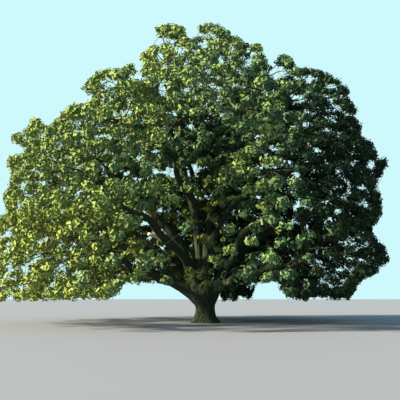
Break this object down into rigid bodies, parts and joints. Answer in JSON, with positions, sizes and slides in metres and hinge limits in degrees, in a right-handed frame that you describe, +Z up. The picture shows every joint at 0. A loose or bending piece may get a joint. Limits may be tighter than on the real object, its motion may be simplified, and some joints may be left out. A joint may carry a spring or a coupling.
{
  "type": "oak tree",
  "caption": "Large open-grown oak in summer leaf: short flared trunk, ring of heavy spreading limbs and a low, wide, domed crown.",
  "frame": {"origin": "middle of the flat cut under the trunk, at ground level", "axes": "+Z up the trunk; +X to the right of the crown and -Y to the viewer, as the tree is seen from the front"},
  "size_m": [25.3412, 25.3891, 20.8532],
  "materials": {
    "bark": "deeply ridged grey-brown bark",
    "bare_wood": "weathered bare wood, pale and dry",
    "foliage": "slightly glossy green leaves on thin twigs"
  },
  "bodies": {
    "root": {"trunk": "bark", "leader_left": "bark", "leader_right": "bark", "bough_low_left": "bark", "bough_low_right": "bark", "bough_high_left": "bark", "bough_middle_right": "bark", "bough_middle_back": "bark", "bough_low_back_right": "bark", "bough_low_back_left": "bark", "bough_low_front_left": "bark", "bough_middle_left": "bark", "bough_middle_front_left": "bark", "bough_middle_front_right": "bark", "bough_high_right": "bark", "bough_high_back": "bark", "bough_high_front": "bark", "bough_upper_front_right": "bark", "bough_upper_front_left": "bark", "bough_upper_back": "bark", "broken_stub": "bare_wood", "foliage_top_1": "foliage", "foliage_top_2": "foliage", "foliage_upper_1": "foliage", "foliage_upper_2": "foliage", "foliage_upper_3": "foliage", "foliage_upper_4": "foliage", "foliage_upper_5": "foliage", "foliage_upper_6": "foliage", "foliage_high_1": "foliage", "foliage_high_2": "foliage", "foliage_high_3": "foliage", "foliage_high_4": "foliage", "foliage_high_5": "foliage", "foliage_high_6": "foliage", "foliage_high_7": "foliage", "foliage_high_8": "foliage", "foliage_middle_1": "foliage", "foliage_middle_2": "foliage", "foliage_middle_3": "foliage", "foliage_middle_4": "foliage", "foliage_middle_5": "foliage", "foliage_middle_6": "foliage", "foliage_middle_7": "foliage", "foliage_middle_8": "foliage", "foliage_low_1": "foliage", "foliage_low_2": "foliage", "foliage_low_3": "foliage", "foliage_low_4": "foliage", "foliage_low_5": "foliage", "foliage_low_6": "foliage", "foliage_low_7": "foliage", "foliage_low_8": "foliage", "foliage_low_9": "foliage", "foliage_shoot_right": "foliage", "foliage_shoot_fork": "foliage"}
  },
  "joints": []
}
